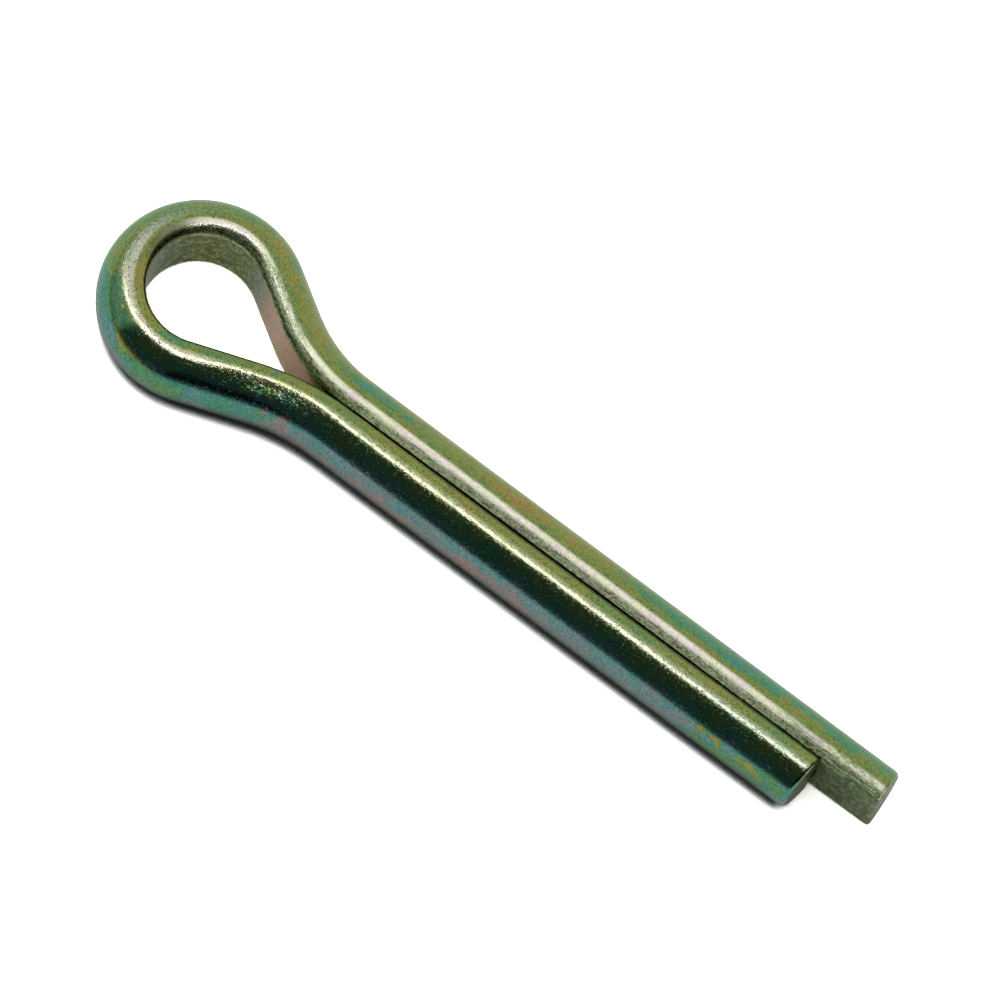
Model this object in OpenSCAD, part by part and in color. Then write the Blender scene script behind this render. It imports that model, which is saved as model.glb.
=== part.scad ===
// Cotter pin: one length of half-round wire folded flat to flat into a
// teardrop eye and a split shank, with one leg longer than the other.
// Millimetres. The pin lies on its side, legs along +X, underside at Z = 0.

/* [Shank] */
// Diameter across the two closed legs
shank_diameter = 4.47; // [3.2:0.01:6]
// Slit between the flats of the two legs
leg_gap = 0.1124; // [0.04:0.0002:0.4]
// Rounding between the wire's flat and its round back
flat_corner_radius = 0.445; // [0.1:0.001:0.7]

/* [Legs] */
// Straight run of the long leg, from the neck to its tip
long_leg_length = 30.2; // [14:0.1:80]
// How far the long leg reaches past the short one
leg_step = 3.35; // [0:0.05:8]
// Bevel around the back of each sheared tip
tip_bevel = 0.2; // [0.05:0.01:0.5]

/* [Eye] */
// Diameter of the eye's round end, flat to flat
eye_bore = 5.46; // [4.3:0.01:6.7]
// From the neck, where the legs turn straight, back to the eye's centre
eye_reach = 8.46; // [7:0.01:10.9]
// Shift of the eye's centre towards the long leg's side
eye_shift = 0.52; // [0:0.01:1]
// How far the long leg's arm closes in, for each millimetre of its run
long_arm_taper = 0.5376; // [0.42:0.0001:0.64]
// How far the short leg's arm closes in, for each millimetre of its run
short_arm_taper = 0.352; // [0.28:0.0001:0.46]

/* [Hidden] */
$fn = 96;
back_facets = 64;
corner_facets = 32;

plating = [0.56, 0.58, 0.36];

shank_radius = shank_diameter / 2;
half_gap = leg_gap / 2;
short_leg_length = long_leg_length - leg_step;

// The wire is drawn about the shank's axis: its back lies on the shank's
// circle and its flat stands half the gap off. So each bend turns about a
// centre that is given by the radius of that line.
eye_radius = eye_bore / 2 - half_gap;

// Centre of the rounding at the wire's upper corner, in the wire's section.
corner = [
    half_gap + flat_corner_radius,
    sqrt(pow(shank_radius - flat_corner_radius, 2)
         - pow(half_gap + flat_corner_radius, 2))
];

// The wire lies on the rounding of its lower corners.
wire_half_height = corner[1] + flat_corner_radius;

// The pin's outline, measured from the neck on the shank's axis.
eye_outside = eye_radius + shank_radius;
eye_back = -eye_reach - eye_outside;
side_max = max(eye_shift + eye_outside, shank_radius);
side_min = min(eye_shift - eye_outside, -shank_radius);
mid_x = (eye_back + long_leg_length) / 2;
mid_y = (side_min + side_max) / 2;

// Angles at which the two arms close in on the shank's axis.
long_slope = asin(long_arm_taper);
short_slope = asin(short_arm_taper);

// Overlap by which a straight length fuses with the bend it runs into.
seam = 1e-8;

// Reach of the blocks that trim the bends.
clear = 2 * (eye_reach + eye_bore + long_leg_length);

// In what follows, shift is the eye's offset towards the leg in question, and
// slope the angle at which that leg's arm closes in on the shank's axis.

// Neck bend radius, which brings the arm onto the leg.
function neck_radius(shift, slope) =
    (eye_reach * sin(slope) - shift * cos(slope) - eye_radius)
    / (1 - cos(slope));

// Straight arm between the eye's round end and the neck bend.
function arm_length(shift, slope) =
    (eye_radius * cos(slope) + shift
     - neck_radius(shift, slope) * (1 - cos(slope))) / sin(slope);

// Half-round section of the wire: flat facing -X, round back towards +X.
// The back, a strip along the flat, and a sector for each rounded corner.
module wire_section() {
    lower = [corner[0], -corner[1]];
    intersection() {
        circle(r = shank_radius, $fn = back_facets);
        polygon([corner, 4 * corner, [4 * shank_radius, 0], 4 * lower, lower]);
    }
    translate([half_gap, lower[1]])
        square([flat_corner_radius, 2 * corner[1]]);
    for (side = [0, 1])
        mirror([0, side])
            translate(corner)
                intersection() {
                    circle(r = flat_corner_radius, $fn = corner_facets);
                    polygon([
                        [0, 0],
                        4 * corner,
                        [-shank_radius, shank_radius],
                        [-shank_radius, 0]
                    ]);
                }
}

// Straight length of wire along +X, its back to +Y.
module straight_wire(length) {
    translate([-seam, 0, 0])
        rotate([90, 0, 90])
            linear_extrude(height = length + 2 * seam)
                wire_section();
}

// Everything ahead of the plane X = 0.
module ahead() {
    translate([0, -clear, -clear])
        cube([clear, 2 * clear, 2 * clear]);
}

// The eye's round end, back outwards: a ring that is open between the planes
// in which the two arms leave it.
module eye_bend() {
    difference() {
        rotate_extrude()
            translate([eye_radius, 0])
                wire_section();
        intersection() {
            rotate([0, 0, -long_slope])
                ahead();
            rotate([0, 0, short_slope])
                ahead();
        }
    }
}

// Neck bend, back inwards: the part of a ring between the plane in which the
// arm reaches it and the plane in which the leg leaves it.
module neck_bend(radius, slope) {
    intersection() {
        rotate_extrude()
            translate([radius, 0])
                mirror([1, 0])
                    wire_section();
        ahead();
        rotate([0, 0, slope])
            mirror([1, 0, 0])
                ahead();
    }
}

// A leg along +X, ending in its sheared and bevelled tip.
module leg(length) {
    straight_wire(length - tip_bevel);
    translate([length - tip_bevel, 0, 0])
        intersection() {
            straight_wire(tip_bevel);
            rotate([0, 90, 0])
                cylinder(h = tip_bevel, r1 = shank_radius,
                         r2 = shank_radius - tip_bevel);
        }
}

// From the eye's centre: the arm, neck bend and leg of the +Y side.
module half_pin(length, shift, slope) {
    bend = neck_radius(shift, slope);
    arm = arm_length(shift, slope);
    rotate([0, 0, -slope])
        translate([0, eye_radius, 0]) {
            straight_wire(arm);
            translate([arm, 0, 0])
                translate([0, bend, 0]) {
                    neck_bend(bend, slope);
                    rotate([0, 0, slope])
                        translate([0, -bend, 0])
                            leg(length);
                }
        }
}

module cotter_pin() {
    color(plating)
        translate([-mid_x, -mid_y, 0])
            translate([-eye_reach, eye_shift, wire_half_height]) {
                eye_bend();
                half_pin(long_leg_length, eye_shift, long_slope);
                mirror([0, 1, 0])
                    half_pin(short_leg_length, -eye_shift, short_slope);
            }
}

cotter_pin();
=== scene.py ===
import math

import bpy
import numpy as np
from mathutils import Matrix, Vector, noise


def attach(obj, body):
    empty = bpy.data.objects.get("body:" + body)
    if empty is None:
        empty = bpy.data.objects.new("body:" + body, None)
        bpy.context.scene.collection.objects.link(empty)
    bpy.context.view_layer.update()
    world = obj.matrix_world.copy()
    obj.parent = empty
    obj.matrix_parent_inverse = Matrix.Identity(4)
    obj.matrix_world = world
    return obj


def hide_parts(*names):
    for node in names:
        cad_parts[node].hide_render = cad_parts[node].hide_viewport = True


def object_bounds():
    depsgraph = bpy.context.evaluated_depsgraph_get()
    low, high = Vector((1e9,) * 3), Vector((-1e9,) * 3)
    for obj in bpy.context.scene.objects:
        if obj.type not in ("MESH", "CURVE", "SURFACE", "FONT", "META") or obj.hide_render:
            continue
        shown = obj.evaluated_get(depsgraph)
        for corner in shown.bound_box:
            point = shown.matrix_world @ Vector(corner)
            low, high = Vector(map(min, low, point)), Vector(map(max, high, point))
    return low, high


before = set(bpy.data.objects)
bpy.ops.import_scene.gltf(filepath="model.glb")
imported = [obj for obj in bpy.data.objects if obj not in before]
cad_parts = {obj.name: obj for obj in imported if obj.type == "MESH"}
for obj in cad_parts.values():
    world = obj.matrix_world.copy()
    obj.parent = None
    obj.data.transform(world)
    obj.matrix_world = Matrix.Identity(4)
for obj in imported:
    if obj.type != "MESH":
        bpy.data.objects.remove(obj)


def corners():
    return [list(c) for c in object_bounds()]


cad_box = corners()

MM = 0.001

# ------------------------------------------------------------ sizes, in mm

# The pin's own sizes, as they are in its CAD source.
SHANK = 4.47
GAP = 0.1124
CORNER = 0.445
LONG_LEG = 30.2
LEG_STEP = 3.35
BORE = 5.46
REACH = 8.46
SHIFT = 0.52
LONG_SLOPE = math.asin(0.5376)
SHORT_SLOPE = math.asin(0.352)

RADIUS = SHANK / 2
HALF_GAP = GAP / 2
EYE = BORE / 2 - HALF_GAP
SHORT_LEG = LONG_LEG - LEG_STEP
CORNER_X = HALF_GAP + CORNER
CORNER_Z = math.sqrt((RADIUS - CORNER) ** 2 - CORNER_X ** 2)
HALF_HEIGHT = CORNER_Z + CORNER

# Where the neck stands on the shank's axis, in the frame.
lo, hi = (np.array(c) / MM for c in cad_box)
NECK_X = hi[0] - LONG_LEG
AXIS_Y = (lo[1] + hi[1]) / 2 - SHIFT


def neck(shift, slope):
    """Bend radius of the neck and length of the arm, for one side."""
    s, c = math.sin(slope), math.cos(slope)
    bend = (REACH * s - shift * c - EYE) / (1 - c)
    arm = (EYE * c + shift - bend * (1 - c)) / s
    return bend, arm


LONG_BEND, LONG_ARM = neck(SHIFT, LONG_SLOPE)
SHORT_BEND, SHORT_ARM = neck(-SHIFT, SHORT_SLOPE)
AROUND = math.pi + LONG_SLOPE + SHORT_SLOPE

# Length, turn and spacing of stations, from the long tip to the short one.
RUNS = [
    (LONG_LEG, 0.0, 0.15),
    (LONG_BEND * LONG_SLOPE, -LONG_SLOPE, 0.1),
    (LONG_ARM, 0.0, 0.1),
    (EYE * AROUND, AROUND, 0.05),
    (SHORT_ARM, 0.0, 0.1),
    (SHORT_BEND * SHORT_SLOPE, -SHORT_SLOPE, 0.1),
    (SHORT_LEG, 0.0, 0.15),
]
# Places along the wire, here and below, are in mm from the long tip: the long
# leg runs to 30.2, its neck to 35.4, its arm to 37.9, the eye's round end to
# 48.8, the other arm to 52.2, its neck to 56.6 and the short leg to 83.4.
TOTAL = sum(run[0] for run in RUNS)
EYE_FROM = sum(run[0] for run in RUNS[:3])

# -------------------------------------------------------- wear of the wire

# The long leg's upper inner corner is rubbed down, which runs out over the
# eye: its radius is larger there, and along the leg it is planed to a bevel.
WORN_FROM, WORN_TO = EYE_FROM + 3.0, EYE_FROM + 8.0
WORN_CORNER = CORNER + 0.26
PLANED_FROM, PLANED_TO = 29, 34
BEVEL = math.radians(38)

# Radius of the sheared tips' rims, and how far in the rings of a face lie.
RIM = 0.24
FACE_RINGS = (0.4, 0.6, 0.8, 1.0, 1.25, 1.5, 1.8)
# Each tip's plane leans, and the lean fades over this much of its leg.
LEAN_FADE = 1.5

# The slit is a little closed at the short tip.
CLOSED_BY, CLOSED_OVER = 0.035, 9

# The press has flattened the short leg's neck a little, above its side: how
# deep, where it faces and how far to each side, in degrees, and the places
# between which it comes and goes.
KNOCK, KNOCK_FACING, KNOCK_SPREAD = 0.038, 31, 18
KNOCK_COMES, KNOCK_GOES = (48.8, 51.4), (51.8, 58.0)

# Film thickness, 0 to 1: the plain value on the long leg's side, and on the
# short leg's side at the wire's back and at its top.
FILM_LONG = 0.27
FILM_BACK, FILM_TOP = 0.78, 0.26

# Patches where the film departs from that: how far along the wire from the
# long tip, facing in degrees, half length, half width and film there.
PATCHES = [
    # long leg, its round back
    (7.0, 44, 8.5, 26, 0.52), (1.0, 30, 0.9, 12, 0.28),
    (5.2, 30, 1.2, 10, 0.20), (8.4, 36, 1.8, 14, 0.54),
    (7.5, 62, 4.0, 10, 0.70), (13.0, 34, 2.6, 14, 0.52),
    (18.0, 34, 2.2, 16, 0.20), (21.8, 36, 2.2, 16, 0.10),
    (25.5, 36, 2.2, 14, 0.26), (29.5, 36, 2.0, 14, 0.50),
    (31.6, 32, 1.0, 14, 0.38),
    # its neck, and the far side of the eye
    (33.0, 38, 0.9, 12, 0.22), (34.6, 34, 0.9, 12, 0.08),
    (36.2, 44, 1.2, 14, 0.20), (37.4, 52, 0.6, 12, 0.46),
    (38.4, 34, 1.0, 12, 0.16), (40.2, 46, 1.0, 14, 0.44),
    (41.4, 25, 1.2, 12, 0.34), (42.6, 42, 1.0, 14, 0.44),
    (44.2, 44, 0.8, 14, 0.27), (45.6, 46, 0.9, 16, 0.47),
    (47.2, 60, 0.7, 14, 0.18), (45.4, 76, 1.6, 10, 0.66),
    # near side of the eye, and the short leg's round back
    (48.4, 76, 1.4, 18, 0.46), (51.2, 72, 1.8, 18, 0.57),
    (53.5, 66, 0.4, 9, 0.44), (54.3, 68, 0.5, 16, 0.91),
    (57.0, 71, 2.6, 9, 0.73), (57.0, 86, 3.0, 9, 0.86),
    (60.5, 86, 2.4, 9, 0.93), (66.5, 86, 3.2, 9, 0.92),
    (64.0, 71, 6.0, 9, 0.73), (73.0, 74, 4.5, 12, 0.75),
    (78.8, 63, 0.45, 6, 0.08), (79.6, 70, 0.6, 7, 0.08),
    (81.0, 72, 0.6, 7, 0.20), (80.0, 86, 2.6, 10, 0.40),
    (82.4, 66, 1.0, 16, 0.48),
    # upper inner corner of the eye's near side and of the short leg
    (45.6, -20, 1.8, 45, 0.18), (48.3, -20, 0.9, 45, 0.48),
    (50.6, -20, 1.2, 45, 0.38), (52.8, -20, 0.3, 30, 0.90),
    (56.8, -20, 1.6, 45, 0.32), (65.0, -20, 6.0, 45, 0.20),
    (73.0, -20, 2.6, 45, 0.32), (77.4, -20, 2.0, 45, 0.24),
    (81.5, -20, 2.0, 45, 0.34),
    # flats inside the eye, and the long leg's beyond the short one
    (35.0, -90, 3.6, 30, 1.00), (39.3, -90, 1.2, 30, 0.30),
    (41.3, -90, 1.4, 30, 0.18), (43.2, -90, 1.2, 30, 0.36),
    (46.0, -90, 1.6, 30, 0.24), (1.6, -90, 2.8, 30, 0.36),
    # undersides and the long leg's far side
    (4.0, 105, 3.0, 22, 0.46), (14.0, 120, 4.0, 25, 0.58),
    (24.0, 100, 3.0, 20, 0.14), (30.0, 125, 3.0, 25, 0.40),
    (38.0, 110, 3.0, 25, 0.62), (43.0, 105, 1.5, 20, 0.30),
    (52.0, 125, 2.5, 20, 0.45), (62.0, 130, 4.0, 20, 0.60),
    (74.0, 125, 3.0, 20, 0.35),
]

# ---------------------------------------------------------------- the wire


def smooth(a, b, v):
    """0 up to a, 1 from b on, and a smooth step between them."""
    t = np.clip((v - a) / (b - a), 0, 1)
    return t * t * (3 - 2 * t)


def path():
    """Stations along the wire: x, y, heading and length run so far."""
    x, y, heading, s = LONG_LEG, 0.0, math.pi, 0.0
    stations = [(x, y, heading, s)]
    for length, turn, pitch in RUNS:
        n = max(2, int(round(length / pitch)))
        step, dh = length / n, turn / n
        for _ in range(n):
            mid = heading + dh / 2
            chord = step if turn == 0 else 2 * step / dh * math.sin(dh / 2)
            x += chord * math.cos(mid)
            y += chord * math.sin(mid)
            heading += dh
            s += step
            stations.append((x, y, heading, s))
    return np.array(stations)


def section(worn=0.0, planed=0.0):
    """Points round the wire: distance from the axis, height, and facing.

    Facing is 0 straight up, 90 degrees at the back and -90 on the flat.
    Worn, 0 to 1, makes the upper corner rounder, and planed bevels it."""
    points = []
    upper = CORNER + worn * (WORN_CORNER - CORNER)
    bevel = math.pi / 2 - planed * (math.pi / 2 - BEVEL)
    ux = HALF_GAP + upper
    uz = math.sqrt((RADIUS - upper) ** 2 - ux ** 2)
    start = math.atan2(ux, uz)
    tilt = math.atan2(CORNER_X, CORNER_Z)
    # Where the arc meets the bevel, and the bevel the flat. Without a bevel
    # these are two points of the flat, 0.1 mm apart.
    arc = np.array([ux - upper * math.sin(bevel),
                    uz + upper * math.cos(bevel)])
    width = (arc[0] - HALF_GAP) / max(math.cos(bevel), 1e-9)
    foot = arc - width * np.array([math.cos(bevel), math.sin(bevel)])
    foot[1] -= 0.1 * (1 - planed)
    for i in range(6):                        # bevel, blended into the flat
        t = i / 6
        a = -bevel - (math.pi / 2 - bevel) * (1 - t) ** 3
        points.append((*(foot + (arc - foot) * (0.03 + 0.97 * t)), a))
    for i in range(14):                       # upper corner
        a = -bevel + (bevel + start) * (i + 0.01) / 14
        points.append((ux + upper * math.sin(a), uz + upper * math.cos(a), a))
    for i in range(45):                       # round back
        a = start + (math.pi - tilt - start) * i / 44
        points.append((RADIUS * math.sin(a), RADIUS * math.cos(a), a))
    for i in range(1, 13):                    # lower corner
        a = math.pi - tilt + (math.pi / 2 + tilt) * i / 12
        points.append((CORNER_X + CORNER * math.sin(a),
                       -CORNER_Z + CORNER * math.cos(a), a))
    flat_top = foot[1] - 0.02
    for i in range(1, 9):                     # flat
        z = -CORNER_Z + (flat_top + CORNER_Z) * i / 9
        points.append((HALF_GAP, z, 1.5 * math.pi))
    return np.array(points)


def ring(station, inset=0.0, ahead=0.0):
    """Points of the section at a station, drawn in and pushed ahead along +X.

    With them go the length run so far, the section and the facing."""
    x, y, heading, s = station
    profile = section(float(1 - smooth(WORN_FROM, WORN_TO, s)),
                      float(1 - smooth(PLANED_FROM, PLANED_TO, s)))
    p = profile[:, :2].copy()
    if inset:
        heart = np.array([RADIUS * 0.45, 0.0])
        d = p - heart
        r = np.linalg.norm(d, axis=1, keepdims=True)
        p = heart + d * np.maximum(1 - inset / r, 0.0)
    # How far each tip's plane leans back, from its flat to its round back.
    long_tip = -0.085 * p[:, 0] / RADIUS - 0.012 * p[:, 1]
    short_tip = 0.06 - 0.17 * p[:, 0] / RADIUS + 0.012 * p[:, 1]
    lean = ((1 - smooth(0, LEAN_FADE, s)) * long_tip
            + (1 - smooth(0, LEAN_FADE, TOTAL - s)) * short_tip)
    points = np.zeros((len(p), 3))
    points[:, 0] = x + p[:, 0] * math.sin(heading) + ahead + lean
    points[:, 1] = y - p[:, 0] * math.cos(heading)
    points[:, 2] = p[:, 1]
    return points, s, p, profile[:, 2]


def rings(stations):
    """All rings, from the middle of the long tip to that of the short one."""
    # A tip's rings, from its rim in: the rounded rim, then the sheared face.
    tip = []
    for k in range(1, 7):
        a = math.pi / 2 * k / 6
        tip.append((RIM * (1 - math.cos(a)), RIM * math.sin(a) - RIM))
    tip += [(inset, 0.0) for inset in FACE_RINGS]

    first, last = stations[0], stations[-1]
    between = [s for s in stations if RIM <= s[3] <= TOTAL - RIM]
    return ([ring(first, *step) for step in reversed(tip)]
            + [ring(first, ahead=-RIM)]
            + [ring(station) for station in between]
            + [ring(last, ahead=-RIM)]
            + [ring(last, *step) for step in tip])


def film_at(along, facing):
    """Film thickness for points along the wire; facing is in degrees."""
    turn = np.abs(facing - 90) / 90
    film = FILM_BACK + (FILM_TOP - FILM_BACK) * smooth(0.22, 0.84, turn)
    film += (FILM_LONG - film) * (1 - smooth(EYE_FROM + 3, EYE_FROM + 9, along))
    for at, way, half, width, value in PATCHES:
        d = np.hypot((along - at) / half, (facing - way) / width)
        film += (value - film) * (1 - smooth(0.55, 1.25, d))
    return film


def wire_mesh(name):
    """The whole wire as one closed mesh, with what its material reads."""
    stations = path()
    rows = rings(stations)
    n, m = len(rows), len(rows[0][0])
    verts = np.concatenate([r[0] for r in rows])
    along = np.repeat([r[1] for r in rows], m)
    px, pz = np.concatenate([r[2] for r in rows]).T
    facing = np.concatenate([r[3] for r in rows])
    degrees = np.degrees(np.where(facing > 3.5, facing - 2 * math.pi, facing))

    verts[:, 1] += CLOSED_BY * smooth(TOTAL - CLOSED_OVER, TOTAL, along)

    aside = np.clip((degrees - KNOCK_FACING) / KNOCK_SPREAD, -1, 1)
    knock = KNOCK * (0.5 + 0.5 * np.cos(aside * math.pi))
    knock *= smooth(*KNOCK_COMES, along) * (1 - smooth(*KNOCK_GOES, along))

    # Shallow unevenness left by drawing and bending the wire. The patches of
    # the film drift with the same noise.
    raised = np.zeros(len(verts))
    drift = np.zeros((len(verts), 2))
    for k, (a, x, z) in enumerate(zip(along, px, pz)):
        coarse = noise.noise((a * 0.3, x * 0.7, z * 0.7))
        fine = noise.noise((a * 1.1, x * 1.6, z * 1.6))
        other = noise.noise((a * 1.3 + 40, x * 2.4, z * 2.4))
        raised[k] = 0.006 * coarse + 0.0022 * fine - 0.004
        drift[k] = 1.1 * other + 0.5 * coarse, 13 * fine
    film = film_at(along + drift[:, 0], degrees + drift[:, 1])

    heading = np.interp(along, stations[:, 3], stations[:, 2])
    normal = np.stack([np.sin(facing) * np.sin(heading),
                       -np.sin(facing) * np.cos(heading),
                       np.cos(facing)], 1)
    verts += normal * (raised - knock)[:, None]
    verts += np.array([NECK_X, AXIS_Y, HALF_HEIGHT])

    faces = []
    for k in range(n - 1):
        for i in range(m):
            j = (i + 1) % m
            faces.append((k * m + i, k * m + j,
                          (k + 1) * m + j, (k + 1) * m + i))
    faces.append(tuple(range(m - 1, -1, -1)))
    faces.append(tuple(range((n - 1) * m, n * m)))
    mesh = bpy.data.meshes.new(name)
    mesh.from_pydata((verts * MM).tolist(), [], faces)
    mesh.update()
    for polygon in mesh.polygons:
        polygon.use_smooth = True

    wire = mesh.attributes.new("wire", "FLOAT_VECTOR", "POINT")
    wire.data.foreach_set("vector", np.stack([along, px, pz], 1).ravel())
    depth = np.repeat([min(k, n - 1 - k) for k in range(n)], m)
    for key, values in (
        ("film", film),
        # 0 at the wire's round back, 1 on top and below, 2 on the flat.
        ("turn", np.abs(facing - math.pi / 2) / (math.pi / 2)),
        # Where the corner's film is rubbed thin, which also carries the painted
        # highlight and sheen on it, and where it is scuffed, which is less on the eye
        # than on the leg.
        ("worn", 1 - smooth(WORN_FROM - 0.6, WORN_TO - 2, along)),
        ("dull", (1 - 0.55 * smooth(30, 36, along))
         * (1 - smooth(WORN_FROM, WORN_TO + 1.5, along))),
        # The face of each tip and the last two rings of its rim.
        ("sheared", (depth < len(FACE_RINGS) + 2).astype(float)),
    ):
        mesh.attributes.new(key, "FLOAT", "POINT").data.foreach_set(
            "value", values)
    obj = bpy.data.objects.new(name, mesh)
    bpy.context.scene.collection.objects.link(obj)
    return obj


pin = wire_mesh("pin")
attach(pin, "root")
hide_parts("cotter_pin")

# -------------------------------------------------------------- node makers


class Nodes:
    """Short ways to add and link nodes in one tree."""

    def __init__(self, tree):
        self.tree = tree

    def add(self, kind, **props):
        n = self.tree.nodes.new(kind)
        for k, v in props.items():
            setattr(n, k, v)
        return n

    def put(self, socket, value):
        """Links the socket to an output, or sets it to a constant."""
        if hasattr(value, "is_output"):
            self.tree.links.new(value, socket)
        else:
            socket.default_value = value

    def read(self, name, output="Fac"):
        """One of the mesh's attributes."""
        n = self.add("ShaderNodeAttribute", attribute_name=name)
        return n.outputs[output]

    def split(self, vector):
        """X, Y and Z of a vector."""
        n = self.add("ShaderNodeSeparateXYZ")
        self.put(n.inputs[0], vector)
        return n.outputs

    def math(self, op, a, b=0.0, c=0.0):
        n = self.add("ShaderNodeMath", operation=op)
        for i, v in enumerate((a, b, c)):
            self.put(n.inputs[i], v)
        return n.outputs[0]

    def product(self, first, *others):
        for v in others:
            first = self.math("MULTIPLY", first, v)
        return first

    def plus(self, base, v, amount):
        """base, and amount times v on top of it."""
        return self.math("MULTIPLY_ADD", v, amount, base)

    def sway(self, base, v, amount):
        """base, moved up and down by a noise that swings about a half."""
        return self.plus(base, self.math("SUBTRACT", v, 0.5), amount)

    def ease(self, v, a, b, to=(0.0, 1.0)):
        """to[0] at a, to[1] at b, and a smooth step between them."""
        n = self.add("ShaderNodeMapRange", interpolation_type="SMOOTHSTEP")
        for i, x in enumerate((v, a, b, to[0], to[1])):
            self.put(n.inputs[i], x)
        return n.outputs[0]

    def band(self, v, a, b, c, d, top=1.0):
        """Rises from 0 to top between a and b, and falls between c and d."""
        return self.product(self.ease(v, a, b), self.ease(v, d, c, (0.0, top)))

    def noise(self, vector, scale=(1, 1, 1), offset=(0, 0, 0), detail=3.0,
              rough=0.7):
        """Noise of scale features per mm each way, and offset from others."""
        place = self.add("ShaderNodeMapping")
        self.put(place.inputs["Vector"], vector)
        place.inputs["Scale"].default_value = scale
        place.inputs["Location"].default_value = offset
        n = self.add("ShaderNodeTexNoise")
        self.put(n.inputs["Vector"], place.outputs[0])
        n.inputs["Scale"].default_value = 1.0
        n.inputs["Detail"].default_value = detail
        n.inputs["Roughness"].default_value = rough
        return n.outputs["Fac"]

    def mix(self, fac, a, b):
        n = self.add("ShaderNodeMix", data_type="RGBA", blend_type="MIX")
        for i, v in ((0, fac), (6, a), (7, b)):
            self.put(n.inputs[i], v)
        return n.outputs[2]

    def grey(self, value):
        n = self.add("ShaderNodeCombineColor")
        for i in range(3):
            self.put(n.inputs[i], value)
        return n.outputs[0]

    def occlusion(self, distance, samples):
        """How open the surface is to what lies within a distance, in mm."""
        n = self.add("ShaderNodeAmbientOcclusion", samples=samples)
        n.inputs["Distance"].default_value = distance * MM
        return n.outputs["AO"]


# ----------------------------------------------------------------- plating

# Colours of the passivation film as it thickens.
FILM_COLOURS = [
    (0.00, (0.400, 0.200, 0.060)),
    (0.12, (0.310, 0.275, 0.062)),
    (0.24, (0.235, 0.290, 0.066)),
    (0.36, (0.160, 0.285, 0.090)),
    (0.47, (0.095, 0.280, 0.120)),
    (0.58, (0.055, 0.275, 0.185)),
    (0.68, (0.080, 0.275, 0.265)),
    (0.78, (0.185, 0.250, 0.265)),
    (0.87, (0.265, 0.230, 0.240)),
    (0.94, (0.340, 0.220, 0.220)),
    (1.00, (0.460, 0.200, 0.110)),
]
# Pale colours. Zinc where the film is thin, on the rubbed corner and in the
# scratches beside it, which is also a painted highlight on the corner and a
# painted sheen in the scratches; a painted highlight on the short leg's ridge,
# softer towards its tip, and another over the eye's outer end; painted glints
# in the hammered spots; and zinc on the flats.
PINK_ZINC_HIGHLIGHT = (1.00, 0.88, 0.86, 1)
YELLOW_ZINC_HIGHLIGHT = (0.96, 0.98, 0.70, 1)
SCRATCHED_ZINC_SHEEN = (0.80, 0.95, 0.60, 1)
RIDGE_HIGHLIGHT = (0.74, 0.72, 0.52, 1)
SOFT_RIDGE_HIGHLIGHT = (0.60, 0.63, 0.55, 1)
BOW_HIGHLIGHT = (0.52, 0.55, 0.46, 1)
HAMMERED_GLINT = (0.66, 0.74, 0.70, 1)
FLAT_ZINC = (0.38, 0.49, 0.20, 1)
# Film and dirt that lie over it, and painted shade: in the slit and where the
# rubbed corner runs out on the eye; the scratches' dark green is partly a
# painted dark reflection.
OLIVE = (0.27, 0.37, 0.20, 1)
SCRATCH_AND_REFLECTION_GREEN = (0.08, 0.13, 0.06, 1)
SLIT_SHADE = (0.02, 0.022, 0.012, 1)
RUNOUT_SHADE = (0.09, 0.11, 0.045, 1)
SOOT = (0.045, 0.072, 0.028, 1)
BLUSH = (0.86, 0.42, 0.33, 1)
DARK_FLECK = (0.05, 0.055, 0.02, 1)
PALE_FLECK = (0.55, 0.55, 0.38, 1)
SHEARED_STEEL = (0.066, 0.062, 0.020, 1)

plate = bpy.data.materials.new("plated_wire")
plate.use_nodes = True
N = Nodes(plate.node_tree)
bsdf = plate.node_tree.nodes["Principled BSDF"]
wire = N.read("wire", "Vector")
turn = N.read("turn")
worn = N.read("worn")
sheared = N.read("sheared")
run = N.split(wire)[0]

patch = N.noise(wire, (0.9, 1.4, 1.4), (7, 3, 5), rough=0.6)
speck = N.noise(wire, (5.0, 6.5, 6.5), (2, 9, 4))
streak = N.noise(wire, (1.0, 22, 22))
grain = N.noise(wire, (8, 11, 11))
pit = N.noise(wire, (3, 3.6, 3.6), (1, 8, 3), detail=2.0, rough=0.6)
blotch = N.noise(wire, (3.2, 2.4, 2.4), (4, 6, 8), detail=4.0)
fleck = N.noise(wire, (13, 15, 15), (5, 1, 2), detail=2.0, rough=0.6)

film = N.add("ShaderNodeValToRGB")
ramp = film.color_ramp
ramp.interpolation = "LINEAR"
while len(ramp.elements) < len(FILM_COLOURS):
    ramp.elements.new(0.5)
for stop, (position, rgb) in zip(ramp.elements, FILM_COLOURS):
    stop.position = position
    stop.color = (*rgb, 1)
thick = N.sway(N.sway(N.read("film"), patch, 0.32), speck, 0.45)
N.put(film.inputs[0], thick)
colour = film.outputs[0]

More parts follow.
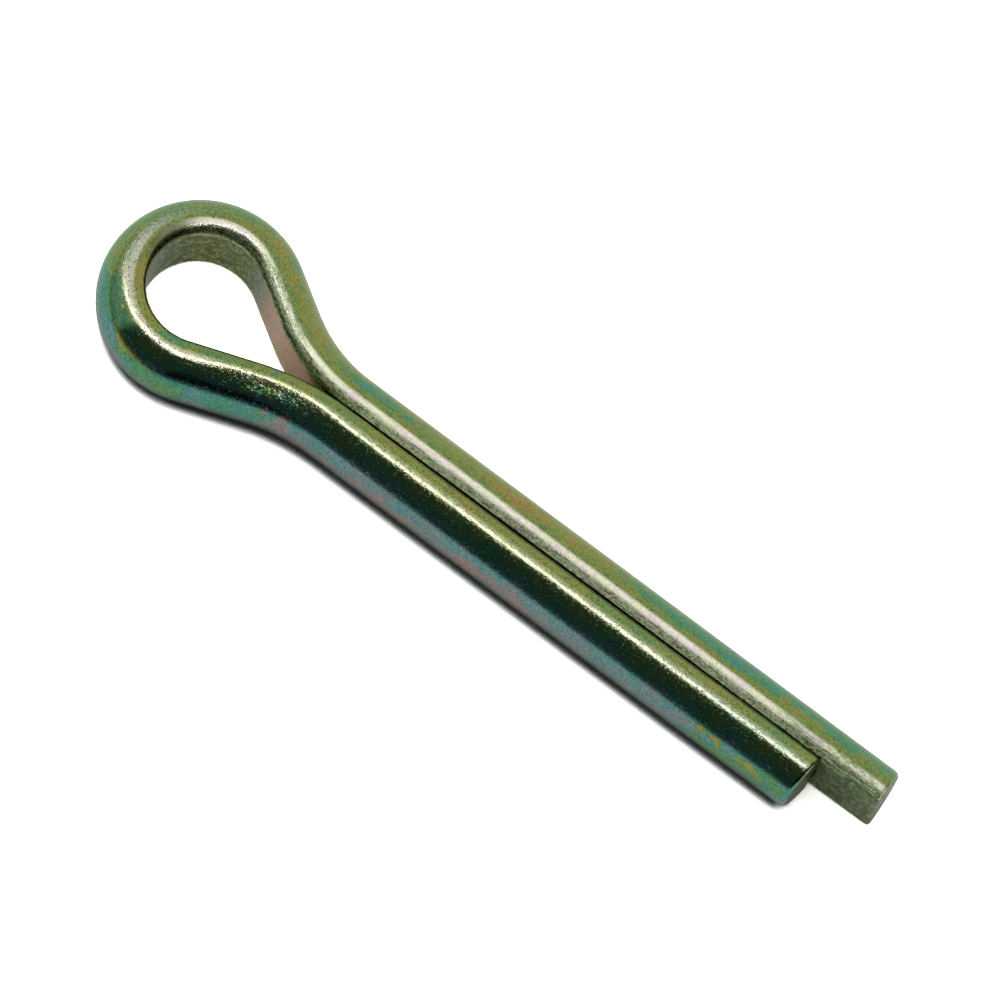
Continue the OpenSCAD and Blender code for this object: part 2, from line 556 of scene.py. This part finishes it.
# Where the corner is rubbed the film is thin and the zinc shows paler, all
# along its crest and in streaks beside the flat. This pale colour is partly
# wear and partly painted light: a painted highlight along the crest and a
# painted sheen in the streaks.
crest_wear_and_highlight = N.band(turn, 0.97, 1.13, 1.28, 1.42)
fringe_scratches_and_sheen = N.band(turn, 1.28, 1.38, 1.85, 2.0)
scratch = N.plus(N.product(speck, 0.4), streak, 0.6)
pale = N.math("ADD",
              N.product(crest_wear_and_highlight, N.ease(scratch, 0.43, 0.50, (0.68, 1.0))),
              N.product(fringe_scratches_and_sheen, N.ease(scratch, 0.43, 0.51, (0.35, 1.0))))
zinc_and_highlight = N.mix(N.ease(N.sway(patch, speck, 0.7), 0.40, 0.60),
             PINK_ZINC_HIGHLIGHT, YELLOW_ZINC_HIGHLIGHT)
zinc_and_highlight = N.mix(N.product(fringe_scratches_and_sheen, 0.7), zinc_and_highlight, SCRATCHED_ZINC_SHEEN)
# The pale zinc, and the painted highlight with it, shows less by the tip and
# in the neck.
less = N.math("MAXIMUM", N.band(run, 32.5, 35.0, 38.0, 39.2),
              N.product(N.ease(run, 6.6, 4.6),
                        N.ease(run, -0.5, 2.0, (0.5, 1.0))))
less = N.product(less, N.ease(scratch, 0.53, 0.46, (0.25, 0.95)))
zinc_and_highlight = N.mix(less, zinc_and_highlight, OLIVE)
colour = N.mix(N.product(pale, worn), colour, zinc_and_highlight)
# Dark green streaks beside the flat: partly scratches, and partly a painted dark
# reflection, stronger from the neck on.
dark = N.product(fringe_scratches_and_sheen, N.ease(scratch, 0.50, 0.41),
                 N.ease(run, 28.0, 32.0, (0.4, 0.95)), worn)
colour = N.mix(dark, colour, SCRATCH_AND_REFLECTION_GREEN)

# A painted highlight where the short leg's round back runs into its corner,
# softer towards its tip.
ridge_highlight = N.product(N.band(turn, 0.665, 0.71, 0.755, 0.86),
                  N.ease(run, 42.5, 44.0),
                  N.ease(run, 48.0, 52.0, (1.0, 0.6)))
soft = N.ease(run, 68.0, 78.0)
colour = N.mix(N.product(ridge_highlight, 0.85), colour,
               N.mix(soft, RIDGE_HIGHLIGHT, SOFT_RIDGE_HIGHLIGHT))

# A soft painted highlight all over the top of the eye's outer end.
bow_highlight = N.product(N.band(turn, 0.52, 0.68, 0.80, 0.94),
                N.band(run, 40.5, 43.5, 44.0, 47.0))
colour = N.mix(N.product(bow_highlight, N.ease(speck, 0.35, 0.6, (0.25, 0.7))),
               colour, BOW_HIGHLIGHT)

# The corner beside the slit is painted dark on the short leg, as shade.
slit = N.product(N.band(turn, 1.30, 1.50, 1.9, 2.0),
                 N.ease(run, 57, 64, (0.0, 0.9)))
colour = N.mix(slit, colour, SLIT_SHADE)

# Painted shade where the rubbed corner runs out on the eye, dimming the
# light's reflection there.
runout_shade = N.product(N.band(run, 41.2, 42.4, 43.4, 44.6),
                   N.ease(turn, 0.96, 1.08, (0.0, 0.6)))
colour = N.mix(runout_shade, colour, RUNOUT_SHADE)

# Bright spots where the short leg's neck was hammered: the dents are in the
# bump, and their pale colour is painted glints.
dents_and_glints = N.product(N.band(run, 51.2, 52.6, 53.8, 56.5),
                 N.band(turn, 0.48, 0.58, 0.66, 0.70))
colour = N.mix(N.product(dents_and_glints, N.ease(pit, 0.54, 0.62)), colour,
               HAMMERED_GLINT)

# The flats are blotched, most at the long tip and least by the neck, where
# the long leg's is reddish.
flat = N.ease(turn, 1.88, 2.0)
sooty = N.math("ADD", N.ease(run, 8.0, 4.0),
               N.ease(run, 36.0, 39.0, (0.0, 0.65)))
colour = N.mix(N.product(flat, sooty, N.ease(blotch, 0.66, 0.40)),
               colour, SOOT)
shine = N.product(flat, N.ease(run, 4.0, 8.0, (0.25, 1.0)),
                  N.ease(blotch, 0.46, 0.64))
colour = N.mix(shine, colour, FLAT_ZINC)
blush = N.product(N.band(run, 31.0, 33.0, 36.0, 38.0, top=0.85),
                  N.ease(blotch, 0.62, 0.42, (0.2, 1.0)))
colour = N.mix(N.product(flat, blush), colour, BLUSH)

# Small dark and pale flecks, with fewer dark ones on the rubbed corner.
spots = N.math("MAXIMUM", N.ease(grain, 0.45, 0.30, (0.0, 0.7)),
               N.ease(fleck, 0.46, 0.34))
amount = N.plus(0.85, N.product(crest_wear_and_highlight, worn), -0.5)
colour = N.mix(N.product(spots, amount), colour, DARK_FLECK)
colour = N.mix(N.ease(fleck, 0.58, 0.70, (0.0, 0.40)), colour, PALE_FLECK)
colour = N.mix(N.product(sheared, N.ease(blotch, 0.35, 0.6, (0.9, 0.65))),
               colour, SHEARED_STEEL)
N.put(bsdf.inputs["Base Color"], colour)
bsdf.inputs["Metallic"].default_value = 1.0
bsdf.inputs["Specular Tint"].default_value = (0.85, 0.86, 0.78, 1)

# The rubbed corner is scuffed, and the sheared tips are dull.
scuff = N.product(N.read("dull"), N.band(turn, 0.90, 1.10, 1.75, 2.0))
rough = N.plus(0.09, scuff, 0.34)
rough = N.plus(rough, N.ease(grain, 0.50, 0.68), 0.22)
rough = N.plus(rough, sheared, 0.25)
rough = N.plus(rough, N.product(ridge_highlight, soft), 0.05)
rough = N.plus(rough, bow_highlight, 0.10)
N.put(bsdf.inputs["Roughness"], rough)
bsdf.inputs["Coat Weight"].default_value = 0.14
bsdf.inputs["Coat Roughness"].default_value = 0.04
bsdf.inputs["Coat IOR"].default_value = 1.5

height = N.sway(0.0, streak, N.plus(0.04, scuff, 0.35))
height = N.sway(height, grain, 0.11)
height = N.plus(height, N.ease(speck, 0.60, 0.74), 0.16)
height = N.plus(height, dents_and_glints, N.sway(N.sway(0.0, speck, 1.0), pit, 1.7))
height = N.sway(height, pit, 0.045)
bump = N.add("ShaderNodeBump")
bump.inputs["Strength"].default_value = 1.0
bump.inputs["Distance"].default_value = 0.03 * MM
N.put(bump.inputs["Height"], height)
N.put(bsdf.inputs["Normal"], bump.outputs[0])
pin.data.materials.append(plate)

# ------------------------------------------------------------------ camera

# What it looks at, and its azimuth, elevation, roll and distance from that.
TARGET = Vector((-0.476, 0.953, 2.108)) * MM
AZIMUTH, ELEVATION, ROLL = (math.radians(a) for a in (-71.71, 68.43, 19.56))
DISTANCE = 0.427
VIEW_WIDTH = 45.6 * MM
SENSOR = 36

back = Vector((math.cos(ELEVATION) * math.cos(AZIMUTH),
               math.cos(ELEVATION) * math.sin(AZIMUTH), math.sin(ELEVATION)))
right = Vector((0, 0, 1)).cross(back).normalized()
up = back.cross(right)
c, s = math.cos(ROLL), math.sin(ROLL)
axes = Matrix((c * right + s * up, c * up - s * right, back)).transposed()
cam_data = bpy.data.cameras.new("camera")
cam = bpy.data.objects.new("camera", cam_data)
cam_data.type = "PERSP"
cam_data.sensor_width = SENSOR
cam_data.lens = SENSOR * DISTANCE / VIEW_WIDTH
cam_data.clip_start, cam_data.clip_end = 0.01, 10
cam.matrix_world = Matrix.Translation(TARGET + back * DISTANCE) @ axes.to_4x4()
bpy.context.scene.collection.objects.link(cam)
bpy.context.scene.camera = cam

# ------------------------------------------------------------------- floor

SIDE = 3.0
# How far the bright ground reaches out under the wire round the eye's inside.
UNDER_EYE = 0.4

floor_mesh = bpy.data.meshes.new("floor")
floor_mesh.from_pydata([(-SIDE, -SIDE, 0), (SIDE, -SIDE, 0),
                        (SIDE, SIDE, 0), (-SIDE, SIDE, 0)], [],
                       [(0, 1, 2, 3)])
floor = bpy.data.objects.new("floor", floor_mesh)
bpy.context.scene.collection.objects.link(floor)
paper = bpy.data.materials.new("paper")
paper.use_nodes = True
P = Nodes(paper.node_tree)
paper.node_tree.nodes.clear()
spot = P.split(P.add("ShaderNodeNewGeometry").outputs["Position"])

# Inside the eye the paper stays bright: in its round opening, on between its
# two arms, and past the short leg's tip.
ahead = P.math("SUBTRACT", spot[0], (NECK_X - REACH) * MM)
off = P.math("SUBTRACT", spot[1], (AXIS_Y + SHIFT) * MM)
reach = (BORE / 2 + UNDER_EYE) * MM
inside = P.math("GREATER_THAN", ahead, 1.2 * MM)
for slope, y in ((LONG_SLOPE, off), (SHORT_SLOPE, P.product(off, -1))):
    out = P.plus(P.product(y, math.cos(slope)), ahead, math.sin(slope))
    inside = P.product(inside, P.math("LESS_THAN", out, reach))
away = P.math("SQRT", P.plus(P.product(off, off), ahead, ahead))
inside = P.math("MAXIMUM", inside, P.math("LESS_THAN", away, reach))
tip = NECK_X + SHORT_LEG
inside = P.math("MAXIMUM", inside, P.ease(
    spot[0], (tip - 0.8) * MM, (tip + 0.3) * MM, (0.0, 0.85)))

# To the camera the paper is exposed to white right up to the pin, but for a
# narrow dark line under the overhang of the wire's round back.
near = P.occlusion(0.9, 16)
contact = P.math("MAXIMUM", P.ease(near, 0.53, 0.93, (0.012, 1.0)), inside)
seen = P.product(contact, 5.0)
# In the metal the paper looks dim under the overhang and far off in front.
wide = P.occlusion(4, 8)
mirrored = P.product(
    P.ease(spot[1], -0.012, -0.040, (1.2, 0.18)),
    P.math("MAXIMUM", P.ease(wide, 0.45, 0.75, (0.08, 1.0)), inside))
to_camera = P.add("ShaderNodeLightPath").outputs["Is Camera Ray"]
shade = P.product(mirrored, P.math("SUBTRACT", 1.0, to_camera))
shade = P.plus(shade, seen, to_camera)
diffuse = P.add("ShaderNodeBsdfDiffuse")
P.put(diffuse.inputs["Color"], P.grey(shade))
P.put(P.add("ShaderNodeOutputMaterial").inputs["Surface"],
      diffuse.outputs[0])
floor.data.materials.append(paper)

# ------------------------------------------------------------------ studio

world = bpy.data.worlds.new("studio")
world.use_nodes = True
bpy.context.scene.world = world
W = Nodes(world.node_tree)
world.node_tree.nodes.clear()
# Where a ray meets a ceiling at height 1, for rays near and above level.
way = W.split(W.add("ShaderNodeTexCoord").outputs["Generated"])
high = W.math("MAXIMUM", way[2], 0.02)
u = W.math("DIVIDE", way[0], high)
v = W.math("DIVIDE", way[1], high)

# The near edge of the ceiling's soft light, a gentle curve along X.
edge = W.math("ADD", v, 0.50)
edge = W.plus(edge, W.product(u, u), -0.1)
lamp = W.ease(edge, -0.03, 0.02)
# A bright tube runs along it.
tube = W.product(W.band(edge, -0.016, -0.008, 0.006, 0.020),
                 W.ease(u, 1.4, 1.0))
# The room in front of it is dark, and to the left it is light again.
left = W.math("SUBTRACT", W.product(v, 0.93), u)
left = W.math("DIVIDE", left, W.math("ADD", W.math("ABSOLUTE", v), 0.3))
left = W.ease(left, -0.10, 0.08, (0.070, 0.60))
sky = W.product(W.math("SUBTRACT", 1.0, lamp), left)
sky = W.plus(sky, lamp, 0.85)
# It is dark far off to the right too.
side = W.math("SUBTRACT", u, W.product(W.math("MAXIMUM", v, 0.0), 0.9))
sky = W.product(sky, W.ease(side, 0.6, 1.1, (1.0, 0.15)))
sky = W.plus(sky, tube, 16.0)
# The camera sees plain white past the paper's edge.
to_camera = W.add("ShaderNodeLightPath").outputs["Is Camera Ray"]
background = W.add("ShaderNodeBackground")
W.put(background.inputs["Color"],
      W.mix(to_camera, W.grey(sky), (1, 1, 1, 1)))
background.inputs["Strength"].default_value = 1.0
W.put(W.add("ShaderNodeOutputWorld").inputs["Surface"],
      background.outputs[0])

bpy.context.scene.view_settings.view_transform = "Standard"
